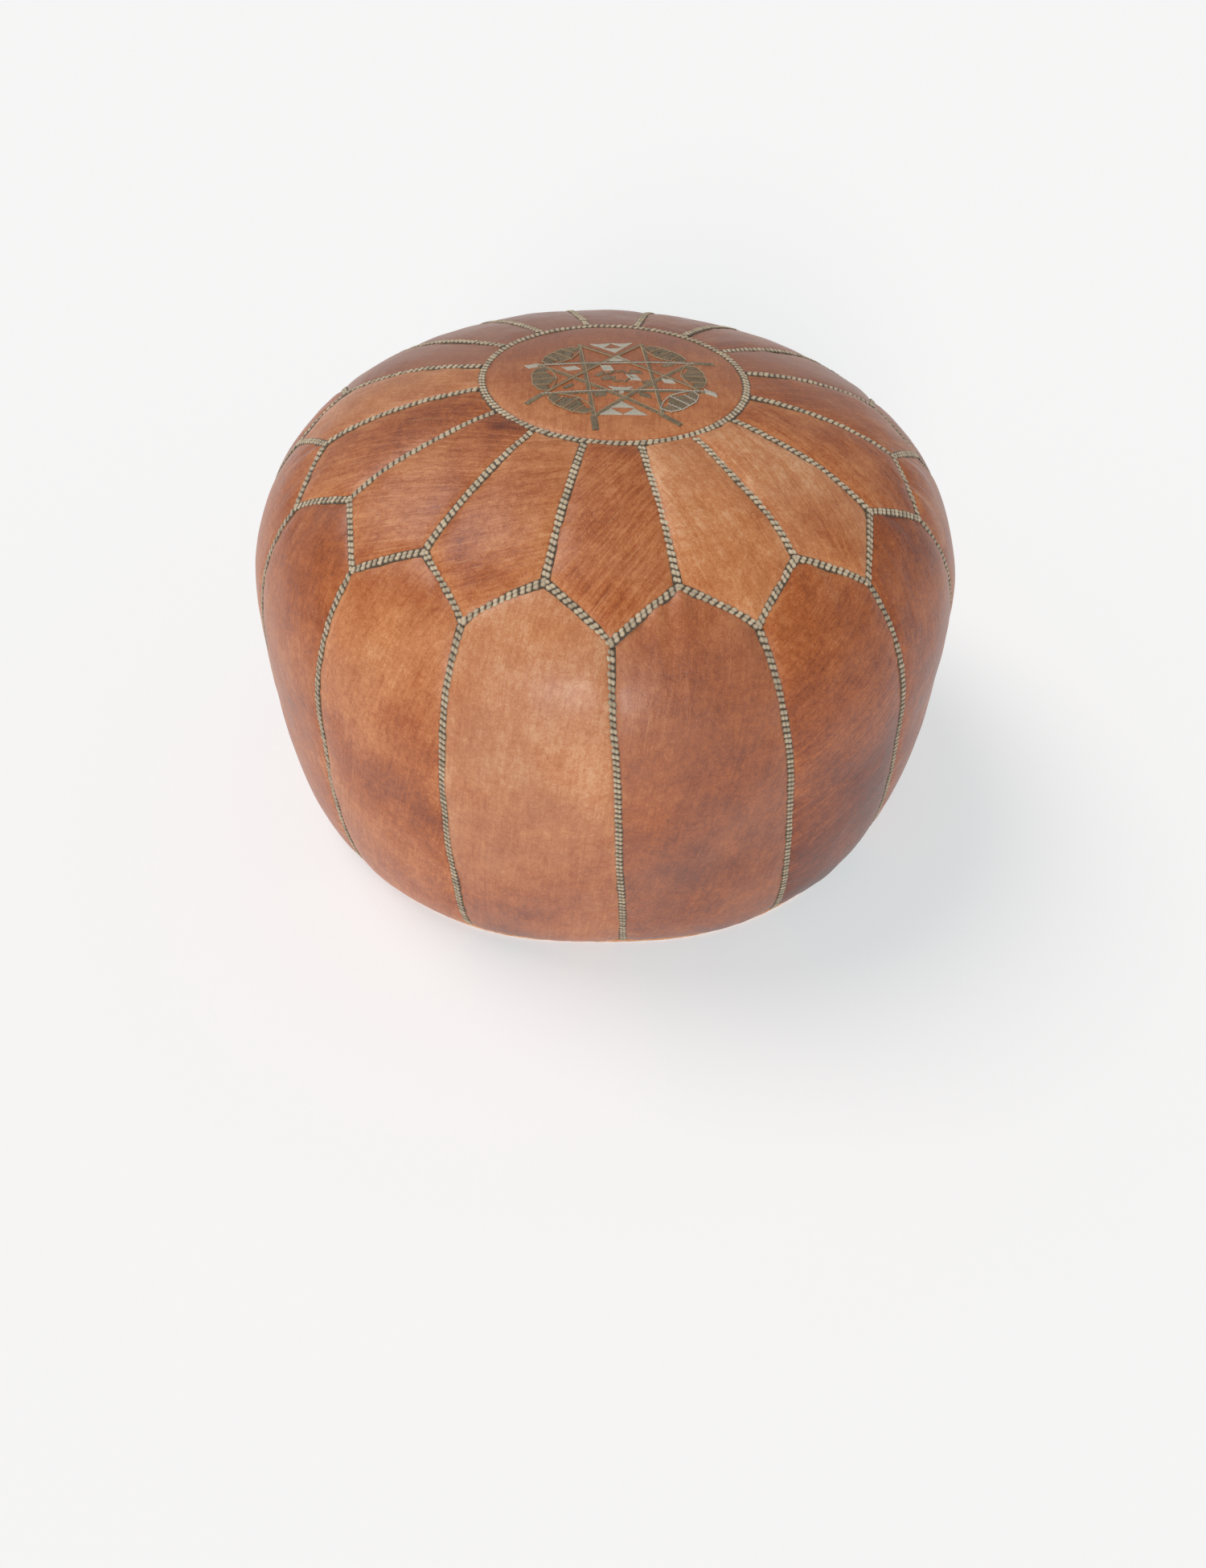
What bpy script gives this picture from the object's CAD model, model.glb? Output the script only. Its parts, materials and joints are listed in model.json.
import json
import math

import bpy
import numpy as np
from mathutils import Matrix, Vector


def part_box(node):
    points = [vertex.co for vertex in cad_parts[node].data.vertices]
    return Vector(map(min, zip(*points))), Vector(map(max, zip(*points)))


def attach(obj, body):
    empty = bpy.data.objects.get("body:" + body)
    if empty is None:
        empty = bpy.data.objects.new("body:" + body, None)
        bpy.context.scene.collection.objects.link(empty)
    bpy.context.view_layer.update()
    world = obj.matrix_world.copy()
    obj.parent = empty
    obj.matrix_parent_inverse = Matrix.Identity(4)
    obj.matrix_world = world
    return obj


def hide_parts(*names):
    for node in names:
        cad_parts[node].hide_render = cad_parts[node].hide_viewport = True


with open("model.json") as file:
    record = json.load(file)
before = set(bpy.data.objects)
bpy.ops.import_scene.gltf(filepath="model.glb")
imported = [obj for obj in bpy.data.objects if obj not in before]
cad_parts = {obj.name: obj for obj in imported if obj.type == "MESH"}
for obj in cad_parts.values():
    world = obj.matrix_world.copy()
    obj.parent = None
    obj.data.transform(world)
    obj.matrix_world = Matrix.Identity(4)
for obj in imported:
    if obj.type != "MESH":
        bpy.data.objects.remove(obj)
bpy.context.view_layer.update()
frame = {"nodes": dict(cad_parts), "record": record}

MM = 0.001

# ---- Sizes: from the frame, and the outline's own numbers as part.scad has them ----
BRAID_W = 6.5 * MM
BRAID_H = 2.1 * MM
LEATHER = 1.6 * MM
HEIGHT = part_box("top_medallion")[1].z
OUTER_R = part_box("side_seam_braids")[1].x - BRAID_H
RIM_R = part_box("rim_braid")[1].x - BRAID_W / 2
TIP_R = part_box("zigzag_braid")[1].x - BRAID_W / 2
NOTCH_R = 197 * MM
WIDEST_Z = 150 * MM
FOOT_R = 230 * MM
DOME_POWER = 2.68
BELLY_POWER = 2.1
PANEL_END = 180 - 11.5           # where the side panels stop, on the outline
PETALS = 16
STEP = 360 / PETALS

# How the stuffed cover has settled: it leans a little, and its top has tilted
LEAN = 0.029
TILT_X = -0.029
TILT_Y = -0.0365
WIDER = 0.016
# How far the lower cover has spread to the sides on the floor: on average, and more on the right
SPREAD = 11 * MM
SPREAD_RIGHT = 3 * MM
SIDEWAYS = 0.15                  # the smaller, the further the spread reaches round to the front
BASE_STAYS_R = 175 * MM          # the base leather within this radius doesn't spread

# How a panel swells between its seams
VALLEY = 2.4 * MM                # a seam lies this far below the smooth shape
CROWN = 1.7 * MM                 # the open leather stands this far above it
ROLL = 4.6 * MM                  # how far from a seam its valley reaches
SWELL = 30 * MM                  # how far from a seam the leather goes on rising
PUCKER_SIDE = 8 * MM             # how far puckers reach from the seams at the sides
PUCKER_END = 12 * MM             # and from the seams at the ends
FOLD_LENGTH = 16 * MM            # how far gathered folds run down from the top seam
DENT_SIZE = 50 * MM

# The size of the leather's blotches: light and dark, and rosy
MOTTLE_SIZE = 38 * MM
BLUSH_SIZE = 52 * MM

# How far the seams spread round from the front, in degrees: on the top, and at the foot
TOP_SPREAD = 1.4
FOOT_TWIST = 4.6
FOOT_SPREAD = 14


# ---- Smooth noise that is the same on every run ----
class Noise:
    """Value noise on a repeating lattice, from -1 to 1."""

    def __init__(self, seed, size=64):
        self.size = size
        self.lattice = np.random.default_rng(seed).uniform(-1, 1, (size, size))

    def __call__(self, x, y):
        xi, yi = np.floor(x).astype(int), np.floor(y).astype(int)
        fx, fy = x - xi, y - yi
        fx, fy = fx * fx * (3 - 2 * fx), fy * fy * (3 - 2 * fy)
        n = self.size

        def at(i, j):
            return self.lattice[i % n, j % n]

        low = at(xi, yi) * (1 - fx) + at(xi + 1, yi) * fx
        high = at(xi, yi + 1) * (1 - fx) + at(xi + 1, yi + 1) * fx
        return low * (1 - fy) + high * fy

    def layers(self, x, y, count, size=1.0):
        """Finer and finer layers, each turned from the last so that no lattice shows. size is how
        far it is between the points of the widest."""
        x, y = x / size, y / size
        total, weight = 0, 0
        for i in range(count):
            turn = 0.6 + 1.1 * i
            u = (x * math.cos(turn) - y * math.sin(turn)) * 2**i + 17.3 * i
            v = (x * math.sin(turn) + y * math.cos(turn)) * 2**i + 5.1 * i
            total = total + self(u, v) / 2**i
            weight += 1 / 2**i
        return total / weight


# ---- The cover's smooth shape ----
# s runs down the outline in degrees: 0 is the crown, 90 the widest place, 180 the foot.
def outline(s):
    """Radius, height and outward normal of the smooth leather at s."""
    t = np.radians(np.asarray(s, float))
    dome = t <= math.pi / 2
    sin, cos = np.abs(np.sin(t)), np.abs(np.cos(t))
    r_dome = OUTER_R * sin ** (2 / DOME_POWER)
    z_dome = WIDEST_Z + (HEIGHT - WIDEST_Z) * cos ** (2 / DOME_POWER)
    u, w = sin ** (2 / BELLY_POWER), cos ** (2 / BELLY_POWER)
    r = np.where(dome, r_dome, FOOT_R + (OUTER_R - FOOT_R) * u)
    z = np.where(dome, z_dome, WIDEST_Z * (1 - w))
    p, q = DOME_POWER - 1, BELLY_POWER - 1
    nr = np.where(dome, (r_dome / OUTER_R) ** p / OUTER_R, u**q / (OUTER_R - FOOT_R))
    up = (np.maximum(z_dome - WIDEST_Z, 0) / (HEIGHT - WIDEST_Z)) ** p / (HEIGHT - WIDEST_Z)
    nz = np.where(dome, up, -(w**q) / WIDEST_Z)
    length = np.hypot(nr, nz)
    return r, z, nr / length, nz / length


S_TABLE = np.linspace(0, 180, 3601)
_r, _z, _, _ = outline(S_TABLE)
RUN_TABLE = np.concatenate([[0], np.cumsum(np.hypot(np.diff(_r), np.diff(_z)))])


def run_of(s):
    """Distance along the leather from the crown down to s."""
    return np.interp(s, S_TABLE, RUN_TABLE)


def s_of(run):
    return np.interp(run, RUN_TABLE, S_TABLE)


def dome_at(r):
    """Where on the dome the leather has radius r."""
    return np.degrees(np.arcsin(np.minimum(r / OUTER_R, 1) ** (DOME_POWER / 2)))


def settle(x, y, z):
    """The lean and tilt of the stuffed cover, for points of the upright shape."""
    high = z / HEIGHT
    return joined(x * (1 + WIDER * np.minimum(high * 3, 1)) + LEAN * z, y,
                  z + high * (TILT_X * x + TILT_Y * y))


def spread_out(az, z):
    """How far the filling pushes the lower cover out at azimuth az and height z."""
    sin = np.sin(np.radians(az))
    low = np.clip(1 - z / WIDEST_Z, 0, 1)
    return ((SPREAD + SPREAD_RIGHT * sin) * (1 + SIDEWAYS) * sin**2 / (sin**2 + SIDEWAYS)
            * low**1.3)


def azimuth(x, y):
    return np.degrees(np.arctan2(x, -y))


def on_base(x, y):
    """Where a point of the round base lies once the cover's foot has spread."""
    r = np.hypot(x, y)
    share = np.clip((r - BASE_STAYS_R) / (FOOT_R - BASE_STAYS_R), 0, 1) ** 2
    grow = 1 + share * spread_out(azimuth(x, y), 0) / r
    return x * grow, y * grow


def cover(az, s, h):
    """Point on the cover at azimuth az (degrees from the front towards +X), h above the leather."""
    r, z, nr, nz = outline(s)
    r, z, a = r + spread_out(az, z) + h * nr, z + h * nz, np.radians(az)
    return settle(r * np.sin(a), -r * np.cos(a), z)


RUN_END = run_of(PANEL_END)

# ---- Seams, as drawn by hand on the leather: nearly even, but never quite ----
_hand = np.random.default_rng(11)
_wander = Noise(23)


def hand_drawn(az, r):
    """A corner of the zigzag, where the maker's hand put it."""
    return (az + TOP_SPREAD * math.sin(math.radians(az)) + _hand.uniform(-0.2, 0.2),
            r + _hand.uniform(-0.9, 0.9) * MM)


TIPS = [hand_drawn(k * STEP, TIP_R) for k in range(PETALS)]
NOTCHES = [hand_drawn((k + 0.5) * STEP, NOTCH_R) for k in range(PETALS)]


def rim_r(az):
    """Radius of the medallion at azimuth az: smaller at the front, as it was sewn off centre."""
    a = np.radians(az)
    return RIM_R - 2.2 * MM - 3.4 * MM * np.cos(a) + 1.8 * MM * np.sin(a)


def rim_run(az):
    """Distance from the crown down to the rim braid."""
    return run_of(dome_at(rim_r(az)))


def corner(i):
    """Corner i of the zigzag, counted in half steps from the front: even is a tip, odd a notch."""
    k, turns = (i // 2) % PETALS, (i // 2) // PETALS
    az, r = (TIPS if i % 2 == 0 else NOTCHES)[k]
    return az + 360 * turns, r


def zigzag_r(az):
    """Radius of the zigzag at azimuth az: straight in plan from corner to corner."""
    az = np.asarray(az, float)
    r = np.zeros_like(az)
    for i in range(-3, 2 * PETALS + 3):
        (a0, r0), (a1, r1) = corner(i), corner(i + 1)
        inside = (az >= a0) & (az <= a1)
        t0, t1, t = math.radians(a0), math.radians(a1), np.radians(az)
        cut = r0 * r1 * math.sin(t1 - t0) / (r1 * np.sin(t1 - t) + r0 * np.sin(t - t0))
        r = np.where(inside, cut, r)
    return r


def seam_az(i, run):
    """Azimuth of the seam at corner i: up to the rim from a notch, down to the base from a tip."""
    az, r = corner(i)
    start = run_of(dome_at(r))
    end = rim_run(az) if i % 2 else RUN_END
    t = np.clip((run - start) / (end - start), 0, 1)
    stray = 1.3 * MM * _wander(run / (45 * MM) + 3.7 * i, np.full_like(run, 2.3 * i))
    a = math.radians(az)
    spread = FOOT_SPREAD * math.sin(a) * (0.75 + 0.25 * math.cos(2 * a))
    drift = 0 if i % 2 else t * (FOOT_TWIST + spread)
    return az + drift + np.degrees(np.sin(t * math.pi) * stray / outline(s_of(run))[0])


# ---- Meshes ----
pieces = []                      # each new object, with the CAD node that it stands for


def new_object(name, data):
    obj = bpy.data.objects.new(name, data)
    bpy.context.scene.collection.objects.link(obj)
    return obj


def joined(*parts):
    """Arrays or numbers stacked as the coordinates of points, or as the corners of faces."""
    return np.stack(np.broadcast_arrays(*parts), -1)


def make_object(name, verts, faces, uv, tone):
    """A smooth mesh. tone holds lightness, rosiness, nearness to a seam and, if it has a fourth
    number, how strongly the leather is brushed."""
    mesh = bpy.data.meshes.new(name)
    mesh.from_pydata(verts.tolist(), [], faces.tolist())
    mesh.uv_layers.new(name="UVMap").data.foreach_set("uv", uv[faces.ravel()].astype("f").ravel())
    if tone.shape[1] == 3:
        tone = np.concatenate([tone, np.full((len(tone), 1), 0.5)], 1)
    mesh.color_attributes.new("Tone", "FLOAT_COLOR", "POINT").data.foreach_set(
        "color", tone.astype("f").ravel())
    mesh.polygons.foreach_set("use_smooth", [True] * len(mesh.polygons))
    return new_object(name, mesh)


def grid_faces(rows, cols, wrap=False):
    """Quads of a rows by cols grid of points. If wrap, the end of each row joins its start."""
    i, j = np.meshgrid(np.arange(rows - 1), np.arange(cols if wrap else cols - 1), indexing="ij")
    i, j, k = i.ravel(), j.ravel(), (j.ravel() + 1) % cols
    return joined(i * cols + j, i * cols + k, (i + 1) * cols + k, (i + 1) * cols + j)


def turn_of(count):
    """Angles once round a thread or a roll."""
    return np.linspace(0, 2 * math.pi, count, endpoint=False)[None, :]


def loop_faces(rows, cols):
    """Quads of a closed loop of rows rings of cols points each."""
    j = np.arange(cols)
    k = (j + 1) % cols
    last = (rows - 1) * cols
    return np.concatenate([grid_faces(rows, cols, wrap=True),
                           joined(last + j, last + k, k, j)])[:, ::-1]


def tube_faces(rows, cols, cap):
    """Quads of a tube of rows rings of cols points each. cap holds the quads across its start."""
    return np.concatenate([grid_faces(rows, cols, wrap=True), cap[:, ::-1],
                           cap + (rows - 1) * cols])


def shell(name, outer, inner, uv, tone):
    """Closed piece between an outer and an inner grid of points."""
    rows, cols = outer.shape[:2]
    n = rows * cols
    top = grid_faces(rows, cols)
    edge = np.concatenate([np.arange(cols), np.arange(1, rows) * cols + cols - 1,
                           (rows - 1) * cols + np.arange(cols - 2, -1, -1),
                           np.arange(rows - 2, 0, -1) * cols])
    nxt = np.roll(edge, -1)
    sides = joined(edge, edge + n, nxt + n, nxt)
    faces = np.concatenate([top, top[:, ::-1] + n, sides])
    i, j = rows // 2, cols // 2
    across = np.cross(outer[i, j + 1] - outer[i, j], outer[i + 1, j] - outer[i, j])
    if np.dot(across, outer[i, j] - inner[i, j]) < 0:
        faces = faces[:, ::-1]
    verts = np.concatenate([outer.reshape(-1, 3), inner.reshape(-1, 3)])
    return make_object(name, verts, faces, np.tile(uv.reshape(-1, 2), (2, 1)),
                       np.tile(tone.reshape(-1, tone.shape[-1]), (2, 1)))


# ---- Leather panels ----
def fullness(az):
    """How full the panels are stuffed: most at the front, flatter towards the back."""
    return 0.78 + 0.22 * np.cos(np.radians(az))


def pillow(*gaps):
    """Height of stuffed leather whose seams are these distances away."""
    near = np.prod([1 - np.exp(-np.maximum(g, 0) / ROLL) for g in gaps], axis=0)
    far = np.prod([1 - np.exp(-np.maximum(g, 0) / SWELL) for g in gaps], axis=0)
    return CROWN * far - VALLEY * (1 - near)


def leather_panel(node, seed, grid, ends, look, spots, gather):
    """The panel that stands for a node, from its grid and its distances to the seams at its ends.
    look is (tone, rose, brush angle, brush strength)."""
    x, run, s, az, sides = grid
    noise, tone_noise = Noise(seed), Noise(seed + 1)
    near_side, near_end = np.min(sides, axis=0), np.min(ends, axis=0)
    puckers = (np.exp(-near_side / PUCKER_SIDE) * noise(x / (26 * MM), run / (5 * MM))
               + 1.2 * np.exp(-near_end / PUCKER_END) * noise(x / (6 * MM) + 9, run / (30 * MM)))
    folds = (np.exp(-ends[0] / FOLD_LENGTH) * (1 - np.exp(-ends[0] / (3 * MM)))
             * noise(x / (8.5 * MM) + 40, ends[0] / (70 * MM)))
    dents = noise.layers(x, run, 3, DENT_SIZE)
    h = (fullness(az) * pillow(*sides, *ends) + 0.45 * MM * puckers + 1.0 * MM * gather * folds
         + 1.1 * MM * dents)
    tone, rose, angle, brushed = look
    mottle = tone_noise.layers(x, run, 4, MOTTLE_SIZE)
    blush = tone_noise.layers(x / BLUSH_SIZE + 31, run / BLUSH_SIZE, 3)
    nearest = np.minimum(near_side, near_end)
    across = sides[0] / (sides[0] + sides[1])
    down = ends[0] / (ends[0] + ends[1])
    light = tone + 0.15 * mottle + stains(spots, across, down)
    colour = joined(light, rose + 0.2 * blush, np.exp(-nearest / (4 * MM)), brushed)
    t = math.radians(angle)
    uv = joined(x * math.cos(t) + run * math.sin(t) + seed * 0.37,
                run * math.cos(t) - x * math.sin(t) + seed * 0.21)
    panel = shell(node + "_leather", cover(az, s, h), cover(az, s, h - LEATHER), uv,
                  np.clip(colour, 0, 1))
    pieces.append((panel, node))


def spread(left, middle, right, u):
    """From left at u = 0 through middle at 0.5 to right at 1, as a share of left to right."""
    m = (middle - left) / (right - left)
    return np.where(u < 0.5, 2 * u * m, m + (2 * u - 1) * (1 - m))


def strip_between(first, middle, last, run_start, run_end, cols, rows):
    """Grid of a panel between the seams at corners first and last, whose middle corner is middle:
    flat coordinates, place on the outline, azimuth and the distances to both seams. Also where it
    starts and ends, which run_start and run_end give from the azimuth there."""
    u = np.linspace(0, 1, cols)[None, :]
    share = spread(corner(first)[0], corner(middle)[0], corner(last)[0], u)
    end_az = corner(first)[0] + (corner(last)[0] - corner(first)[0]) * share
    start, end = run_start(end_az), run_end(end_az)
    run = start + (end - start) * np.linspace(0, 1, rows)[:, None]
    left, right = seam_az(first, run), seam_az(last, run)
    az = left + (right - left) * share
    s = s_of(run)
    r = outline(s)[0]
    sides = [r * np.radians(az - left), r * np.radians(right - az)]
    x = r * np.radians(az - (corner(first)[0] + corner(last)[0]) / 2)
    return (x, run, s, az, sides), start, end


def zigzag_run(az):
    return run_of(dome_at(zigzag_r(az)))


ZIGZAG_COS = 0.78                # turns a distance down the cover into one square to the zigzag

# How light (0 to 1) and how rosy each petal and side panel is, and the angle and strength of its
# brush marks
PETAL_LOOKS = [
    (0.56, 0, 35, 1), (0.71, 0.05, -8, 0.5), (0.73, 0.09, 14, 0.7), (0.5, 0.06, 20, 0.8),
    (0.47, 0.2, -15, 0.8), (0.5, 0.66, 10, 0.7), (0.48, 0.5, 0, 0.9), (0.42, 0.5, 12, 0.7),
    (0.44, 0.9, -10, 0.8), (0.5, 0.9, 5, 0.6), (0.5, 0.85, 15, 0.7), (0.5, 0.66, -5, 0.8),
    (0.7, 0.16, 10, 0.6), (0.53, 0, 30, 1), (0.56, 0, 55, 1), (0.62, 0, 60, 0.9)]
SIDE_LOOKS = [
    (0.43, 0.15, 10, 0.4), (0.34, 0, 60, 0.5), (0.38, 0.03, 5, 0.5), (0.48, 0.1, -10, 0.5),
    (0.42, 0.06, 20, 0.6), (0.5, 0.06, 0, 0.4), (0.44, 0.25, 12, 0.5), (0.5, 0.06, -20, 0.5),
    (0.4, 0, 40, 0.8), (0.52, 0.08, 8, 0.4), (0.46, 0.25, -5, 0.5), (0.44, 0.06, 25, 0.6),
    (0.5, 0.05, 0, 0.4), (0.46, 0.06, -12, 0.4), (0.52, 0, 15, 0.5), (0.61, 0.08, 5, 0.5)]

# Stains and pale patches: how far across and down the panel, how wide and long, and how light
PETAL_STAINS = {0: [(0.6, 0.04, 0.5, 0.12, -0.14), (0.85, 0.45, 0.12, 0.3, -0.03),
                    (0.15, 0.15, 0.35, 0.3, -0.09), (0.5, 0.86, 0.3, 0.1, -0.04)],
                1: [(0.5, 0.5, 0.4, 0.3, 0.04)],
                2: [(0.65, 0.84, 0.5, 0.14, -0.1), (0.5, 0.1, 0.8, 0.2, 0.1)],
                3: [(0, 0.55, 0.45, 0.6, 0.11), (0.85, 0.95, 0.45, 0.25, -0.13)],
                13: [(0.4, 0.25, 0.6, 0.25, -0.12), (0.7, 0.85, 0.3, 0.2, 0.06)],
                14: [(0.5, 0.06, 0.6, 0.14, -0.22), (0.3, 0.8, 0.3, 0.25, 0.04)],
                15: [(0.35, 0.85, 0.4, 0.1, -0.18), (0.6, 0.3, 0.4, 0.2, 0.04)]}
SIDE_STAINS = {0: [(0.5, 0, 3, 0.22, 0.17), (0.5, 0.8, 3, 0.5, -0.1),
                   (0.6, 0.2, 0.3, 0.1, -0.08), (0.12, 0.36, 0.2, 0.14, 0.1),
                   (0.5, 0.6, 0.5, 0.05, -0.08), (0.5, 0.98, 0.8, 0.1, -0.12)],
               1: [(0.5, 0, 3, 0.22, 0.17), (0.35, 0.85, 2, 0.45, -0.16),
                   (0.92, 0.45, 0.2, 0.4, -0.08), (0.2, 0.75, 0.3, 0.1, 0.03),
                   (0.5, 0.98, 0.8, 0.12, -0.1)],
               2: [(0.3, 0.5, 0.3, 0.3, -0.08)],
               14: [(0.85, 0.47, 0.22, 0.08, -0.13), (0.5, 0.43, 0.3, 0.05, -0.08),
                    (0.9, 0.8, 0.2, 0.1, -0.09), (0.4, 0.13, 0.7, 0.18, 0.1)],
               15: [(0.5, 0, 3, 0.35, 0.15), (0.5, 0.85, 3, 0.3, -0.15),
                    (0.8, 0.3, 0.22, 0.12, 0.08), (0.1, 0.1, 0.12, 0.08, -0.14),
                    (0.3, 0.96, 0.5, 0.08, -0.14), (0.8, 0.88, 0.2, 0.08, 0.08),
                    (0.45, 0.75, 0.3, 0.06, -0.06), (0.3, 0.22, 0.35, 0.14, 0.08)]}

# How strongly a side panel is gathered under the zigzag
GATHERED = {0: 2.6, 15: 1.2, 1: 1.0, 14: 0.8}


def stains(spots, u, v):
    return sum(light * np.exp(-((u - x) / wide) ** 2 - ((v - y) / long) ** 2)
               for x, y, wide, long, light in spots)


for k in range(PETALS):
    grid, start, end = strip_between(2 * k - 1, 2 * k, 2 * k + 1, rim_run, zigzag_run, 41, 84)
    ends = [grid[1] - start, (end - grid[1]) * ZIGZAG_COS]
    leather_panel(f"top_petal_{k + 1:02d}", 100 + k, grid, ends, PETAL_LOOKS[k],
                  PETAL_STAINS.get(k, []), 0)

    grid, start, end = strip_between(2 * k, 2 * k + 1, 2 * k + 2, zigzag_run,
                                     lambda az: np.full_like(az, RUN_END), 57, 160)
    ends = [(grid[1] - start) * ZIGZAG_COS, 2.5 * MM + end - grid[1]]
    leather_panel(f"side_panel_{k + 1:02d}", 200 + k, grid, ends, SIDE_LOOKS[k],
                  SIDE_STAINS.get(k, []), GATHERED.get(k, 1))

# The medallion: a square grid bent to a disc
MEDALLION_SEED = 300
_dents = Noise(MEDALLION_SEED)


def medallion_h(x, y):
    """How far the medallion's leather stands above the smooth shape."""
    az = azimuth(x, y)
    dents = _dents.layers(x, y, 3, DENT_SIZE)
    return fullness(az) * pillow(rim_r(az) - np.hypot(x, y)) + 0.5 * MM * dents


def on_medallion(x, y, lift):
    """Point above the medallion's leather at plan position x, y."""
    r = np.maximum(np.hypot(x, y), 1e-6)
    return cover(azimuth(x, y), dome_at(r), medallion_h(x, y) + lift)


g = np.linspace(-1, 1, 81)
gx, gy = np.meshgrid(g, g)
mx, my = gx * np.sqrt(1 - gy**2 / 2), gy * np.sqrt(1 - gx**2 / 2)
m_rim = rim_r(azimuth(mx, my))
mx, my = mx * m_rim, my * m_rim
mottle = Noise(MEDALLION_SEED + 1).layers(mx, my, 4, MOTTLE_SIZE)
back = np.clip(my / RIM_R + 0.3, 0, 1)
medallion_tone = joined(0.60 - 0.12 * back + 0.14 * mottle, 0.05 + 0.45 * back,
                        np.exp(-(m_rim - np.hypot(mx, my)) / (5 * MM)))
medallion = shell("medallion_leather", on_medallion(mx, my, 0), on_medallion(mx, my, -LEATHER),
                  joined(mx, my), np.clip(medallion_tone, 0, 1))
pieces.append((medallion, "top_medallion"))


# ---- Braids: a dark lace with a thick stitch over it every few millimetres ----
STITCH_PITCH = 4.3 * MM
FROM_RIM = 3.4 * MM              # where a seam's braid starts, from the middle of the rim's
FROM_ZIGZAG = 2.6 * MM           # and how near it comes to the zigzag's
STITCH_STATIONS = 13
STITCH_RING = 10
STITCH_HALF = 2.8                # half a stitch's reach across the braid, in millimetres
STITCH_THICK = (1.95, 0.80)      # half its thickness along the braid and up, in millimetres


# The lace's section, across and up, and the quads that close it
LACE = np.array([(-3.1, -1.2), (-3.5, 0), (-2.8, 0.85), (0, 1.1),
                 (2.8, 0.85), (3.5, 0), (3.1, -1.2), (0, -1.4)]) * MM
LACE_CAP = np.array([[0, 1, 2, 3], [0, 3, 4, 7], [7, 4, 5, 6]])


def path_frame(points, normals):
    """Distance along a path, and its tangent and across vectors."""
    along = np.gradient(points, axis=0)
    along /= np.linalg.norm(along, axis=1, keepdims=True)
    across = np.cross(normals, along)
    across /= np.linalg.norm(across, axis=1, keepdims=True)
    length = np.concatenate([[0], np.cumsum(np.linalg.norm(np.diff(points, axis=0), axis=1))])
    return length, along, across


def cover_path(az, run):
    """Points and outward normals along the bottom of the seam valley."""
    s = s_of(run)
    low = -VALLEY * fullness(az)
    points = cover(az, s, low)
    normals = cover(az, s, low + MM) - points
    return points, normals / np.linalg.norm(normals, axis=1, keepdims=True)


def stitch_shape():
    """One wrap of thread across the braid, with a lobe either side of its waist.
    Gives its along, across and up offsets, its UVs and how light each point is."""
    w = np.linspace(-1, 1, STITCH_STATIONS)[:, None]
    ring = turn_of(STITCH_RING)
    waist = np.exp(-((w / 0.22) ** 2))
    fat = np.sqrt(np.maximum(1 - np.abs(w) ** 3.5, 0.06))
    centre_up = 0.5 + 0.72 * np.sqrt(np.maximum(1 - w**2, 0)) - 0.34 * waist
    centre_along = 0.5 * w + 0.35 * np.sin(w * math.pi)
    along = centre_along + STITCH_THICK[0] * fat * (1 - 0.12 * waist) * np.cos(ring)
    up = centre_up + STITCH_THICK[1] * fat * np.sin(ring)
    light = np.clip(0.34 + 0.66 * np.sin(ring) - 0.34 * waist - 0.65 * np.abs(w) ** 3, 0, 1)
    return (joined(along, STITCH_HALF * w, up).reshape(-1, 3) * MM, joined(w, ring),
            light.reshape(-1, 1))


STITCH, STITCH_UV, STITCH_LIGHT = stitch_shape()
_i = np.arange(STITCH_RING // 2 - 1)
STITCH_CAP = joined(_i, _i + 1, STITCH_RING - 2 - _i, STITCH_RING - 1 - _i)
STITCH_FACES = tube_faces(STITCH_STATIONS, STITCH_RING, STITCH_CAP)[:, ::-1]


class Builder:
    """Gathers many small meshes into one object."""

    def __init__(self):
        self.parts, self.count = [], 0

    def add(self, verts, faces, uv, tone):
        verts = verts.reshape(-1, 3)
        tone = np.broadcast_to(np.asarray(tone, float), verts.shape)
        self.parts.append((verts, faces + self.count, uv.reshape(-1, 2), tone))
        self.count += len(verts)

    def object(self, name):
        return make_object(name, *(np.concatenate(part) for part in zip(*self.parts)))


def lace(builder, points, normals, across, length, closed):
    """The dark strip under the stitches."""
    verts = (points[:, None] + across[:, None] * LACE[None, :, :1]
             + normals[:, None] * LACE[None, :, 1:])
    rows, cols = verts.shape[:2]
    if closed:
        verts, rows = verts[:-1], rows - 1
        faces = loop_faces(rows, cols)
    else:
        faces = tube_faces(rows, cols, LACE_CAP)[:, ::-1]
    uv = joined(length[:rows, None] / MM, np.arange(cols)[None, :])
    builder.add(verts, faces, uv, (0, 0.5, 0))


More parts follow.
